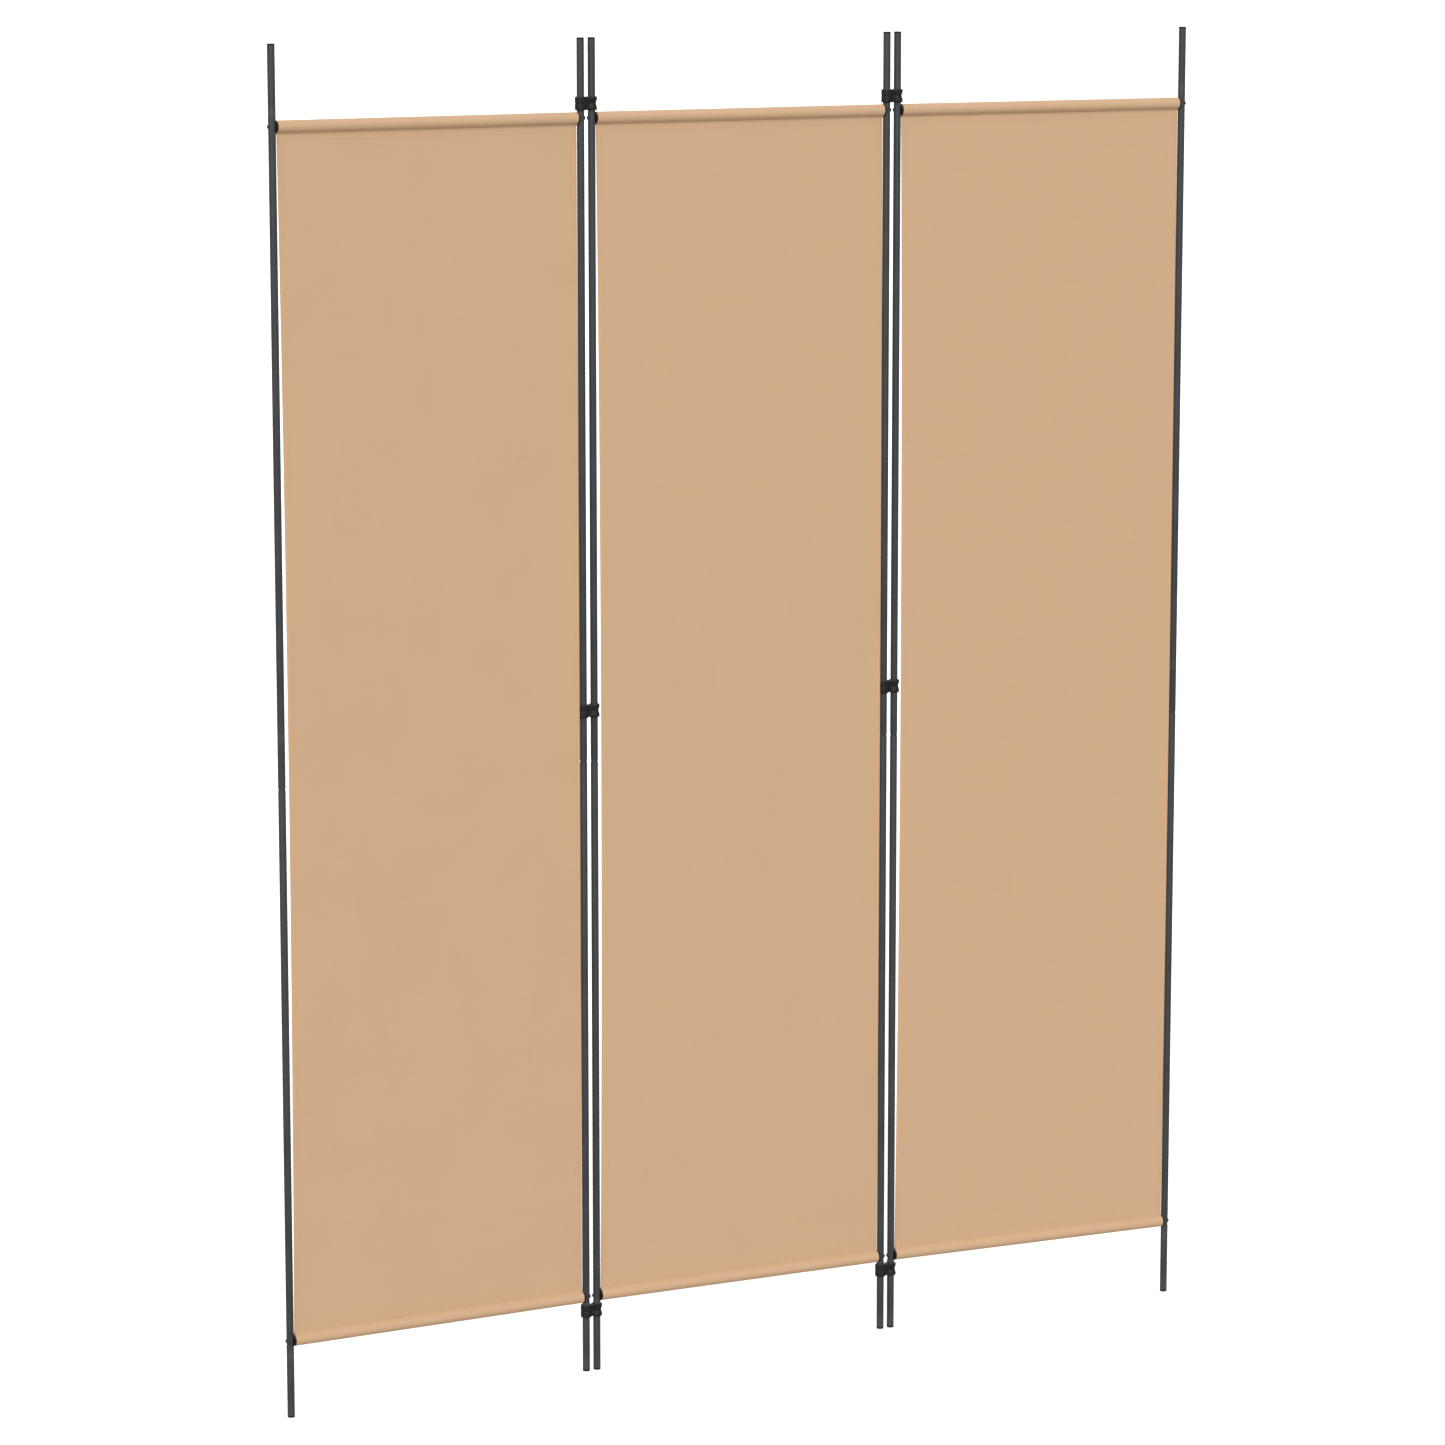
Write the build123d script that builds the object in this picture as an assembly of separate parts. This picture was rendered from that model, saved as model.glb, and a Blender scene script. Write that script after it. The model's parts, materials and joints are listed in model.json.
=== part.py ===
from build123d import *
import os

# Folding screen: tall cloth panels, each stretched between two rails on two round posts.
# Neighbouring posts are joined by double-ring clips, and each post turns in its ring.
# Millimetres. X runs along the screen, the front faces -Y, Z is up and 0 is the floor.
# The origin is on the floor, midway between the centre panel's two post axes.

# ---- driving sizes ----
screen_height = 2000.0      # floor to the tops of the posts
panel_pitch = 485.0         # between the two post axes of one panel
rail_inset = 116.0          # rail axis above the floor, and below the tops of the posts
stand_angle = 2.0           # degrees that each outer panel is turned forward, so that it stands

post_dia = 11.0
post_wall = 0.8
leg_joint_drop = 7.0        # the leg tube's lip lies this far under the bottom rail's axis
mid_joint_height = 935.0    # the upper tube's lower end
spigot_length = 30.0        # how far a tube's necked end goes into the tube below it
shoulder_length = 4.5       # the cone between a tube's full width and its neck

cap_height = 2.5            # top cap's head
foot_height = 3.0           # foot cap's head
cap_stem = 12.0
cap_chamfer = 0.8

rail_dia = 16.0
rail_wall = 1.0
flange_web = 1.3            # plug material between a post's crown and the rail's end
saddle_reach = 1.2          # how far a plug's flange wraps back past a post's crown
flange_step = 0.1           # the flange is this much smaller in radius than the cloth pocket
plug_stem = 16.0

screw_dia = 4.0
screw_head_dia = 5.8
screw_head_height = 1.9
screw_grip = 12.0           # screw length past a post's inner crown
recess_width = 0.8
recess_span = 3.2
recess_depth = 0.9

cloth_pocket_wall = 0.6
cloth_sheet_wall = 1.2
cloth_bow = 5.7             # forward belly of the sheet at half height
pocket_end_gap = 0.1        # between a pocket's end and the plug's flange

clip_height = 20.0
clip_wall = 2.6
clip_chamfer = 1.2
clip_rise = 11.0            # top clip's lower face above the top rail's axis
clip_drop = 12.0            # bottom clip's upper face below the bottom rail's axis
clip_mid_height = 1012.0
web_depth = 9.0             # front to back
web_dip = 1.5               # how far the web's rounded top and bottom dip at its middle
web_hole_width = 3.0
web_hole_height = 5.5
fine_groove_depth = 0.6
fine_groove_half = 0.8
deep_groove_depth = 1.8
deep_groove_half = 6.0
mouth_width = 7.4           # opening at the back of the sprung open ring

# ---- clearances ----
tube_fit = 0.05             # neck in a tube's bore, radial
cap_fit = 0.05              # cap stem in a tube's bore, radial
plug_fit = 0.05             # plug stem in a rail's bore, radial
saddle_fit = 0.05           # plug saddle to a post
screw_hole_fit = 0.15       # screw in a post's cross hole, radial
pilot_fit = 0.05            # screw in a plug's pilot hole, radial
swivel_fit = 0.08           # post in a clip's ring, radial
pocket_fit = 0.15           # cloth pocket around a rail, radial
sheet_side_fit = 0.4        # cloth edge to the clip rings
fold_gap = 0.3              # between two rolled pockets when panels lie against each other

# ---- worked out ----
post_r = post_dia / 2
post_bore_r = post_r - post_wall
neck_r = post_bore_r - tube_fit
neck_bore_r = neck_r - post_wall
rail_r = rail_dia / 2
rail_bore_r = rail_r - rail_wall
pocket_bore_r = rail_r + pocket_fit
pocket_r = pocket_bore_r + cloth_pocket_wall
pair_pitch = 2 * pocket_r + fold_gap
clip_bore_r = post_r + swivel_fit
clip_r = clip_bore_r + clip_wall

bottom_rail_z = rail_inset
top_rail_z = screen_height - rail_inset
leg_top = bottom_rail_z - leg_joint_drop
rail_start = post_r + flange_web
rail_length = panel_pitch - 2 * rail_start
flange_r = pocket_r - flange_step
pocket_width = panel_pitch - 2 * (rail_start + pocket_end_gap)
sheet_width = panel_pitch - 2 * (clip_r + sheet_side_fit)

clip_heights = {
    "bottom": bottom_rail_z - clip_drop - clip_height / 2,
    "middle": clip_mid_height,
    "top": top_rail_z + clip_rise + clip_height / 2,
}

post_sides = {"left": -1, "right": 1}
rail_heights = {"bottom": bottom_rail_z, "top": top_rail_z}

# Clips and outer panels each turn by half the stand angle about the post before them.
panel_places = {"centre": Pos(0, 0, 0)}
clip_places = {}
for side, sign in post_sides.items():
    near_post = Pos(sign * panel_pitch / 2, 0, 0) * Rot(0, 0, -sign * stand_angle / 2)
    far_post = near_post * Pos(sign * pair_pitch, 0, 0) * Rot(0, 0, -sign * stand_angle / 2)
    clip_places[side] = near_post * Pos(sign * pair_pitch / 2, 0, 0)
    panel_places[side] = far_post * Pos(sign * panel_pitch / 2, 0, 0)


def turned(points):
    """Solid of revolution about Z from an outline of (radius, height) points."""
    outline = Plane.XZ * Polyline(*points, close=True)
    return revolve(make_face(outline), Axis.Z)


def cross_hole(height):
    """Hole along X through both walls of a post."""
    radius = screw_dia / 2 + screw_hole_fit
    return Pos(0, 0, height) * Rot(0, 90, 0) * Cylinder(radius, post_dia + 2)


def plain_tube(bottom, top):
    return turned([(post_bore_r, bottom), (post_r, bottom), (post_r, top), (post_bore_r, top)])


def necked_tube(bottom, top):
    """Tube whose lower end tapers to a neck that slides into the tube below."""
    shoulder = bottom + shoulder_length
    tip = bottom - spigot_length
    return turned([
        (post_bore_r, top),
        (post_r, top),
        (post_r, shoulder),
        (neck_r, bottom),
        (neck_r, tip),
        (neck_bore_r, tip),
        (neck_bore_r, bottom),
        (post_bore_r, shoulder),
    ])


def leg_tube():
    return plain_tube(foot_height, leg_top)


def lower_tube():
    return necked_tube(leg_top, mid_joint_height) - cross_hole(bottom_rail_z)


def upper_tube():
    return necked_tube(mid_joint_height, screen_height - cap_height) - cross_hole(top_rail_z)


def foot_cap():
    """Plastic plug with a head of the post's own diameter, flat where it meets the floor."""
    stem_r = post_bore_r - cap_fit
    return turned([
        (0, 0),
        (post_r - cap_chamfer, 0),
        (post_r, cap_chamfer),
        (post_r, foot_height),
        (stem_r, foot_height),
        (stem_r, foot_height + cap_stem),
        (0, foot_height + cap_stem),
    ])


def top_cap():
    stem_r = post_bore_r - cap_fit
    seat = screen_height - cap_height
    return turned([
        (0, screen_height),
        (post_r - cap_chamfer, screen_height),
        (post_r, screen_height - cap_chamfer),
        (post_r, seat),
        (stem_r, seat),
        (stem_r, seat - cap_stem),
        (0, seat - cap_stem),
    ])


def along_x(shape, start):
    """Turns a shape built up from Z 0 so that it runs from start along +X."""
    return Pos(start, 0, 0) * Rot(0, 90, 0) * shape


def rod(radius, start, end):
    """Round bar on the X axis from start to end."""
    return along_x(Cylinder(radius, end - start, align=(Align.CENTER, Align.CENTER, Align.MIN)), start)


def rail_plug():
    """Plug at a rail's end, with its post's axis at the origin and the rail towards +X."""
    flange = rod(flange_r, post_r - saddle_reach, rail_start)
    stem = rod(rail_bore_r - plug_fit, rail_start, rail_start + plug_stem)
    saddle = Cylinder(post_r + saddle_fit, 4 * flange_r)
    pilot = rod(screw_dia / 2 + pilot_fit, 0, rail_start + plug_stem + 1)
    return flange + stem - saddle - pilot


def rail_screw():
    """Domed screw through a post into the plug, with its head on the post's outer side."""
    shank = rod(screw_dia / 2, -post_r, post_r + screw_grip)
    head_r = screw_head_dia / 2
    dome = Plane.XZ * ThreePointArc(
        (head_r, 0),
        (head_r * 0.76, screw_head_height * 0.66),
        (0, screw_head_height),
    )
    rim = Plane.XZ * Polyline((0, screw_head_height), (0, 0), (head_r, 0))
    head = revolve(make_face(dome + rim), Axis.Z)
    floor_of_recess = screw_head_height - recess_depth
    for turn in (0, 90):
        blade = Box(recess_span, recess_width, recess_depth * 2)
        head -= Pos(0, 0, floor_of_recess + recess_depth) * Rot(0, 0, turn) * blade
    return shank + Pos(-post_r, 0, 0) * Rot(0, -90, 0) * head


def both_ends(piece, place, height):
    """The same piece at both ends of a rail, the second one turned half round."""
    first = place * Pos(-panel_pitch / 2, 0, height) * piece
    second = place * Pos(panel_pitch / 2, 0, height) * Rot(0, 0, 180) * piece
    return Compound(children=[first, second])


def rail_tube():
    half = rail_length / 2
    return rod(rail_r, -half, half) - rod(rail_bore_r, -half - 1, half + 1)


def cloth_panel():
    """One cloth: a bowed sheet with a sewn pocket round each rail."""
    half_wall = cloth_sheet_wall / 2
    seam_r = (pocket_r + pocket_bore_r) / 2
    low = bottom_rail_z + seam_r
    high = top_rail_z - seam_r
    middle = (low + high) / 2
    front = ThreePointArc(
        (-half_wall, low), (-half_wall - cloth_bow, middle), (-half_wall, high)
    )
    back = ThreePointArc(
        (half_wall, high), (half_wall - cloth_bow, middle), (half_wall, low)
    )
    ends = [Line((-half_wall, high), (half_wall, high)), Line((half_wall, low), (-half_wall, low))]
    sheet_outline = Plane.YZ * make_face([front, ends[0], back, ends[1]])
    cloth = Pos(-sheet_width / 2, 0, 0) * extrude(sheet_outline, sheet_width, dir=(1, 0, 0))
    for height in rail_heights.values():
        cloth += Pos(0, 0, height) * rod(pocket_r, -pocket_width / 2, pocket_width / 2)
    for height in rail_heights.values():
        cloth -= Pos(0, 0, height) * rod(pocket_bore_r, -panel_pitch / 2, panel_pitch / 2)
    return cloth


def clip_ring(groove_depth, groove_half):
    """One ring about Z, chamfered at both rims, with a groove round its waist."""
    half = clip_height / 2
    return turned([
        (clip_bore_r, -half),
        (clip_r - clip_chamfer, -half),
        (clip_r, -half + clip_chamfer),
        (clip_r, -groove_half),
        (clip_r - groove_depth, 0),
        (clip_r, groove_half),
        (clip_r, half - clip_chamfer),
        (clip_r - clip_chamfer, half),
        (clip_bore_r, half),
    ])


def double_clip():
    """Closed ring on the left post, sprung open ring on the right one, and the web between."""
    half_pitch = pair_pitch / 2
    closed = Pos(-half_pitch, 0, 0) * clip_ring(fine_groove_depth, fine_groove_half)
    open_ring = Pos(half_pitch, 0, 0) * clip_ring(deep_groove_depth, deep_groove_half)
    mouth = Pos(half_pitch, clip_r, 0) * Box(mouth_width, 2 * clip_r, clip_height + 2)
    web = Box(pair_pitch, web_depth, clip_height)
    bores = Cylinder(clip_bore_r, clip_height + 2)
    dip_r = half_pitch - post_r
    dip_centre = clip_height / 2 - web_dip + dip_r
    dip = Rot(90, 0, 0) * Cylinder(dip_r, web_depth + 2 * clip_r)
    for side in (-1, 1):
        web -= Pos(0, 0, side * dip_centre) * dip
        web -= Pos(side * half_pitch, 0, 0) * bores
    slot = Plane.XZ * SlotOverall(web_hole_height, web_hole_width, rotation=90)
    hole = extrude(slot, web_depth + 2 * clip_r, both=True)
    return closed + (open_ring - mouth) + web - hole


def write(name, shape):
    shape.label = name
    export_step(shape, f"parts/{name}.step")


os.makedirs("parts", exist_ok=True)

for panel, place in panel_places.items():
    for side, sign in post_sides.items():
        post = place * Pos(sign * panel_pitch / 2, 0, 0)
        write(f"{panel}_panel_{side}_leg_tube", post * leg_tube())
        write(f"{panel}_panel_{side}_lower_tube", post * lower_tube())
        write(f"{panel}_panel_{side}_upper_tube", post * upper_tube())
        write(f"{panel}_panel_{side}_foot_cap", post * foot_cap())
        write(f"{panel}_panel_{side}_top_cap", post * top_cap())
    for level, height in rail_heights.items():
        write(f"{panel}_panel_{level}_rail", place * Pos(0, 0, height) * rail_tube())
        write(f"{panel}_panel_{level}_rail_plugs", both_ends(rail_plug(), place, height))
        write(f"{panel}_panel_{level}_rail_screws", both_ends(rail_screw(), place, height))
    write(f"{panel}_panel_cloth", place * cloth_panel())

for pair, place in clip_places.items():
    for level, height in clip_heights.items():
        write(f"{pair}_{level}_clip", place * Pos(0, 0, height) * double_clip())
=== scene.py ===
# %% [markdown]
# # A folding room divider, dressed in Blender
# The screen stands 2 m high: three cloth panels, each stretched between two rails on two slim
# steel posts, with plastic double clips that let each post turn beside its neighbour. Its design
# is fixed elsewhere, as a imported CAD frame. This lesson builds the finished pieces round that
# frame: turned tubes and caps, screws, moulded clips and sewn cloth, with their materials.
# Every length is in metres. X runs along the screen, the front faces -Y and Z is up.

# %% Load the frame
import bpy
import json
import math
from mathutils import Matrix, Vector, noise


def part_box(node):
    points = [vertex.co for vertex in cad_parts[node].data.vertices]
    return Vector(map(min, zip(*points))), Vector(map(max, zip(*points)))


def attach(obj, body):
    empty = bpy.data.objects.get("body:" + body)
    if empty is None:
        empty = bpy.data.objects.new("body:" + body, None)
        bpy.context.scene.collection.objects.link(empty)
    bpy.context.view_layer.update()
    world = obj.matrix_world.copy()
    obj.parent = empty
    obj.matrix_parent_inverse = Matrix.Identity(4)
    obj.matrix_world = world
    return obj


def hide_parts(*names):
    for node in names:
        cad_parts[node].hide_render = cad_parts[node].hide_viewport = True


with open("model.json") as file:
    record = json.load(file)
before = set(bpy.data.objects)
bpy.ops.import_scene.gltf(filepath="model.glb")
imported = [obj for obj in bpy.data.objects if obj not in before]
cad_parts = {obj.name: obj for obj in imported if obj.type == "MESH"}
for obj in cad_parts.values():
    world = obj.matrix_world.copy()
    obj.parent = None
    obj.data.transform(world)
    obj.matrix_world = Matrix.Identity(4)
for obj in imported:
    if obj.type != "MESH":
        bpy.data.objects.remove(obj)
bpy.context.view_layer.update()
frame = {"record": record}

# %% [markdown]
# ## Where the pieces go
# The frame says where each foot stands. Two feet give a panel its place: the middle between its
# posts and the way it faces. The outer panels are turned a little forward, so every panel is
# modelled flat at the origin and only then laid on its place. A clip's place comes in the same
# way from the two posts that it joins. Heights are read from the boxes of the CAD nodes.

# %% Places
mm = 0.001
panels = ("left", "centre", "right")
sides = {"left": -1, "right": 1}
neighbours = {"left": ("left", "centre"), "right": ("centre", "right")}
feet = {mount["name"]: Vector(mount["pos_m"]) for mount in frame["record"]["mounts"]}


def foot(panel, side):
    return feet[f"{panel}_panel_{side}_foot"]


def place_between(first, second):
    """Matrix that lays a flat model's +X from one foot to the other, at the floor."""
    along = second - first
    turn = Matrix.Rotation(math.atan2(along.y, along.x), 4, "Z")
    return Matrix.Translation((first + second) / 2) @ turn


panel_places = {p: place_between(foot(p, "left"), foot(p, "right")) for p in panels}
clip_places = {
    pair: place_between(foot(first, "right"), foot(second, "left"))
    for pair, (first, second) in neighbours.items()
}
panel_pitch = (foot("centre", "right") - foot("centre", "left")).length
pair_pitch = (foot("right", "left") - foot("centre", "right")).length
print("between a panel's posts", round(panel_pitch, 4), "between paired posts", round(pair_pitch, 4))

# %% Heights
def lowest(node):
    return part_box(node)[0][2]


def highest(node):
    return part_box(node)[1][2]


def middle(node):
    return (lowest(node) + highest(node)) / 2


rail_heights = {level: middle(f"centre_panel_{level}_rail") for level in ("bottom", "top")}
clip_heights = {level: middle(f"left_{level}_clip") for level in ("bottom", "middle", "top")}
screen_height = highest("centre_panel_left_top_cap")
print("rails at", rail_heights)
print("clips at", clip_heights)

# %% [markdown]
# ## Camera
# A long lens from the front left, a little higher than the screen and looking down slightly.
# The lens has no shift, so the same camera can be walked round the screen for other views.

# %% Camera
camera_data = bpy.data.cameras.new("camera")
camera_data.sensor_width = 36
camera_data.lens = 126.64  # millimetres, as the sensor is
camera = bpy.data.objects.new("camera", camera_data)
bpy.context.scene.collection.objects.link(camera)
camera.location = (-3.3533, -6.7353, 2.2787)
look_right = math.radians(26.258)
look_down = math.radians(9.832)
camera.rotation_euler = (math.pi / 2 - look_down, 0, -look_right)
bpy.context.scene.camera = camera
print("camera at", tuple(camera.location), "lens", camera_data.lens)

# %% [markdown]
# ## Floor and light
# A product on white: even, soft light from all round, stronger from above than from below, so
# that a roll of cloth is light on top and brown underneath. The world gives that slope, and is
# plain white where it is looked at directly, so that no horizon shows behind the screen. Two
# wide, low lamps, one in front and one behind, bring out the roundness of the posts. The floor
# is one wide, pale disc with a little glow of its own, which keeps it white under the screen.
# It is left out of the light on the pieces, so that the dim lower half of the world shades them
# from below. Colours are shown without a film curve, so that a paint keeps its own tone.

# %% Floor
floor_radius = 90


def deselect_all():
    """Leaves nothing selected, since operators act on all that is."""
    if bpy.context.object and bpy.context.object.mode != "OBJECT":
        bpy.ops.object.mode_set(mode="OBJECT")
    bpy.ops.object.select_all(action="DESELECT")


deselect_all()
bpy.ops.mesh.primitive_circle_add(vertices=96, radius=floor_radius, fill_type="NGON", location=(0, 0, 0))
floor = bpy.context.object
floor.name = "floor"
floor_paint = bpy.data.materials.new("floor_white")
floor_paint.use_nodes = True
floor_shader = floor_paint.node_tree.nodes["Principled BSDF"]
floor_shader.inputs["Base Color"].default_value = (0.9, 0.9, 0.9, 1)
floor_shader.inputs["Roughness"].default_value = 0.9
floor_shader.inputs["Specular IOR Level"].default_value = 0.0
floor_shader.inputs["Emission Color"].default_value = (1, 1, 1, 1)
floor_shader.inputs["Emission Strength"].default_value = 0.45
floor.data.materials.append(floor_paint)
floor.visible_diffuse = False
floor.visible_glossy = False
print("floor", 2 * floor_radius, "m across")

# %% [markdown]
# Shader trees below are built with three small helpers: one adds a node and fills its sockets,
# one does a sum, and one mixes two colours by a mask.

# %% Node helpers
def put(tree, kind, sockets=(), **settings):
    """Adds a node, makes its settings, then links or fills its sockets by name or number."""
    node = tree.nodes.new(kind)
    for name, value in settings.items():
        setattr(node, name, value)
    for key, value in dict(sockets).items():
        if isinstance(value, bpy.types.NodeSocket):
            tree.links.new(value, node.inputs[key])
        else:
            node.inputs[key].default_value = value
    return node


def calc(tree, operation, first, second=0.0, third=0.0):
    """The result of a Math node."""
    sockets = {0: first, 1: second, 2: third}
    return put(tree, "ShaderNodeMath", sockets, operation=operation).outputs[0]


def mix_colours(tree, mask, first, second, blend="MIX"):
    """First where the mask is 0, second (or its blend with first) where it is 1."""
    sockets = {0: mask, 6: first, 7: second}  # a Mix node keeps its two colours in 6 and 7
    node = put(tree, "ShaderNodeMix", sockets, data_type="RGBA", blend_type=blend)
    return node.outputs[2]


def fade(tree, value, low, high, out_low=0.0, out_high=1.0):
    """Carries value from low..high to out_low..out_high with soft ends."""
    sockets = {0: value, 1: low, 2: high, 3: out_low, 4: out_high}
    return put(tree, "ShaderNodeMapRange", sockets, interpolation_type="SMOOTHSTEP").outputs[0]


# %% Light
light_above, light_below = 0.76, 0.4
world = bpy.data.worlds.new("soft_white")
bpy.context.scene.world = world
world.use_nodes = True
sky = world.node_tree
direction = put(sky, "ShaderNodeTexCoord").outputs["Generated"]
up = put(sky, "ShaderNodeSeparateXYZ", {0: direction}).outputs["Z"]
glow = put(sky, "ShaderNodeMapRange", {0: up, 1: -1.0, 2: 1.0, 3: light_below, 4: light_above})
seen = put(sky, "ShaderNodeLightPath").outputs["Is Camera Ray"]
brightness = calc(sky, "MAXIMUM", glow.outputs[0], seen)
sky.links.new(brightness, sky.nodes["Background"].inputs["Strength"])
sky.nodes["Background"].inputs["Color"].default_value = (1, 1, 1, 1)
bpy.context.scene.view_settings.view_transform = "Standard"

lamp_width = 50  # degrees, wide enough for shadows with no edge
wide_lamps = {"front_lamp": (-30, 28, 1.69), "back_lamp": (150, 28, 1.04)}
for name, (turn_from_front, height_angle, strength) in wide_lamps.items():
    light = bpy.data.lights.new(name, "SUN")
    light.angle = math.radians(lamp_width)
    light.energy = strength
    lamp = bpy.data.objects.new(name, light)
    bpy.context.scene.collection.objects.link(lamp)
    lamp.rotation_euler = (math.radians(90 - height_angle), 0, math.radians(turn_from_front))
print("lamps", list(wide_lamps))

# %% [markdown]
# ## Shared effects
# Four effects make up the finishes. Each is a shader node group, made once and then placed in a
# material with its own values. Fine grain is the speckle of powder coat or of a spark-eroded
# mould, with a slow drift of tone over it. A rubbed band is where a ring has polished a post, or
# where feet get scuffed. Settled dust lies on what faces up. Plain weave is thread over thread,
# read from the cloth's own flat map.

# %% Fine grain
def new_group(name, inputs, outputs):
    """An empty node group with named sockets, and its two end nodes."""
    group = bpy.data.node_groups.new(name, "ShaderNodeTree")
    for label, kind, value in inputs:
        socket = group.interface.new_socket(label, in_out="INPUT", socket_type=kind)
        if value is not None:
            socket.default_value = value
    for label in outputs:
        group.interface.new_socket(label, in_out="OUTPUT", socket_type="NodeSocketFloat")
    ends = put(group, "NodeGroupInput"), put(group, "NodeGroupOutput")
    return group, ends[0].outputs, ends[1].inputs


NUMBER, VECTOR = "NodeSocketFloat", "NodeSocketVector"

fine_grain, given, out = new_group(
    "fine_grain",
    [("Grain Size", NUMBER, 0.4 * mm), ("Patch Size", NUMBER, 30 * mm)],
    ["Height", "Tone"],
)
place = put(fine_grain, "ShaderNodeTexCoord").outputs["Object"]
for label, size, detail in (("Height", "Grain Size", 2.0), ("Tone", "Patch Size", 4.0)):
    per_metre = calc(fine_grain, "DIVIDE", 1.0, given[size])
    speckle = put(fine_grain, "ShaderNodeTexNoise", {0: place, "Scale": per_metre, "Detail": detail})
    fine_grain.links.new(speckle.outputs[0], out[label])

# %% Rubbed band
rubbed_band, given, out = new_group(
    "rubbed_band",
    [("Height", NUMBER, 0.0), ("Reach", NUMBER, 20 * mm), ("Amount", NUMBER, 0.5)],
    ["Mask"],
)
place = put(rubbed_band, "ShaderNodeTexCoord").outputs["Object"]
height = put(rubbed_band, "ShaderNodeSeparateXYZ", {0: place}).outputs["Z"]
away = calc(rubbed_band, "ABSOLUTE", calc(rubbed_band, "SUBTRACT", height, given["Height"]))
near = calc(rubbed_band, "SUBTRACT", 1.0, calc(rubbed_band, "DIVIDE", away, given["Reach"]))
streaks = put(rubbed_band, "ShaderNodeMapping", {0: place, "Scale": (1.0, 1.0, 0.12)})
marks = put(rubbed_band, "ShaderNodeTexNoise", {0: streaks.outputs[0], "Scale": 900.0, "Detail": 3.0})
worn = fade(rubbed_band, calc(rubbed_band, "ADD", near, marks.outputs[0]), 0.75, 1.35)
kept = calc(rubbed_band, "MULTIPLY", worn, fade(rubbed_band, near, 0.0, 0.3))
rubbed_band.links.new(calc(rubbed_band, "MULTIPLY", kept, given["Amount"]), out["Mask"])

# %% Settled dust
settled_dust, given, out = new_group(
    "settled_dust",
    [("Amount", NUMBER, 0.2), ("Patch Size", NUMBER, 15 * mm)],
    ["Mask"],
)
facing = put(settled_dust, "ShaderNodeNewGeometry").outputs["Normal"]
facing_up = put(settled_dust, "ShaderNodeSeparateXYZ", {0: facing}).outputs["Z"]
upward = fade(settled_dust, facing_up, 0.35, 1.0)
place = put(settled_dust, "ShaderNodeTexCoord").outputs["Object"]
per_metre = calc(settled_dust, "DIVIDE", 1.0, given["Patch Size"])
patches = put(settled_dust, "ShaderNodeTexNoise", {0: place, "Scale": per_metre, "Detail": 5.0})
cover = calc(settled_dust, "MULTIPLY", upward, fade(settled_dust, patches.outputs[0], 0.3, 0.7))
settled_dust.links.new(calc(settled_dust, "MULTIPLY", cover, given["Amount"]), out["Mask"])

# %% Plain weave
plain_weave, given, out = new_group(
    "plain_weave",
    [("Flat Map", VECTOR, None), ("Thread Pitch", NUMBER, 0.55 * mm)],
    ["Height", "Warp", "Slub"],
)
flat = put(plain_weave, "ShaderNodeSeparateXYZ", {0: given["Flat Map"]})
crowns, whole_threads = [], []
for axis in ("X", "Y"):
    number = calc(plain_weave, "DIVIDE", flat.outputs[axis], given["Thread Pitch"])
    wave = calc(plain_weave, "SINE", calc(plain_weave, "MULTIPLY", number, math.pi))
    crowns.append(calc(plain_weave, "ABSOLUTE", wave))
    whole_threads.append(calc(plain_weave, "FLOOR", number))
parity = calc(plain_weave, "ADD", whole_threads[0], whole_threads[1])
warp_on_top = calc(plain_weave, "ABSOLUTE", calc(plain_weave, "MODULO", parity, 2.0))
lies = []
for across, along in ((0, 1), (1, 0)):
    thread = calc(plain_weave, "POWER", crowns[across], 0.6)
    swell = calc(plain_weave, "MULTIPLY_ADD", crowns[along], 0.45, 0.55)
    lies.append(calc(plain_weave, "MULTIPLY", thread, swell))
warp_part = calc(plain_weave, "MULTIPLY", lies[0], warp_on_top)
weft_share = calc(plain_weave, "SUBTRACT", 1.0, warp_on_top)
relief = calc(plain_weave, "MULTIPLY_ADD", lies[1], weft_share, warp_part)
plain_weave.links.new(relief, out["Height"])
plain_weave.links.new(warp_on_top, out["Warp"])

# %% Slubs, the thicker stretches of yarn
slubs = []
for stretch in ((1.0, 0.012, 1.0), (0.012, 1.0, 1.0)):
    drawn = put(plain_weave, "ShaderNodeMapping", {0: given["Flat Map"], "Scale": stretch})
    yarn = put(plain_weave, "ShaderNodeTexNoise", {0: drawn.outputs[0], "Scale": 900.0, "Detail": 1.0})
    slubs.append(yarn.outputs[0])
slub = put(plain_weave, "ShaderNodeMix", {0: warp_on_top, 2: slubs[1], 3: slubs[0]}).outputs[0]
plain_weave.links.new(slub, out["Slub"])
print("node groups", [g.name for g in bpy.data.node_groups])

# %% [markdown]
# ## Finishes
# The posts are powder coated: a soft dark grey, a little blue, with a faint orange-peel grain.
# The clips, caps and plugs are black moulded plastic with a fine spark-eroded texture. The
# screws are steel with a black coat. Each finish is one Principled shader; its uniform
# numbers are set on the shader itself, and only what changes over the surface comes from the
# groups.

# %% A shader and its groups
def finish_with(name, roughness, specular):
    """A material with its Principled shader set for a finish, and its node tree."""
    material = bpy.data.materials.new(name)
    material.use_nodes = True
    tree = material.node_tree
    shader = tree.nodes["Principled BSDF"]
    shader.inputs["Roughness"].default_value = roughness
    shader.inputs["Specular IOR Level"].default_value = specular
    return material, tree, shader.inputs


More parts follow.
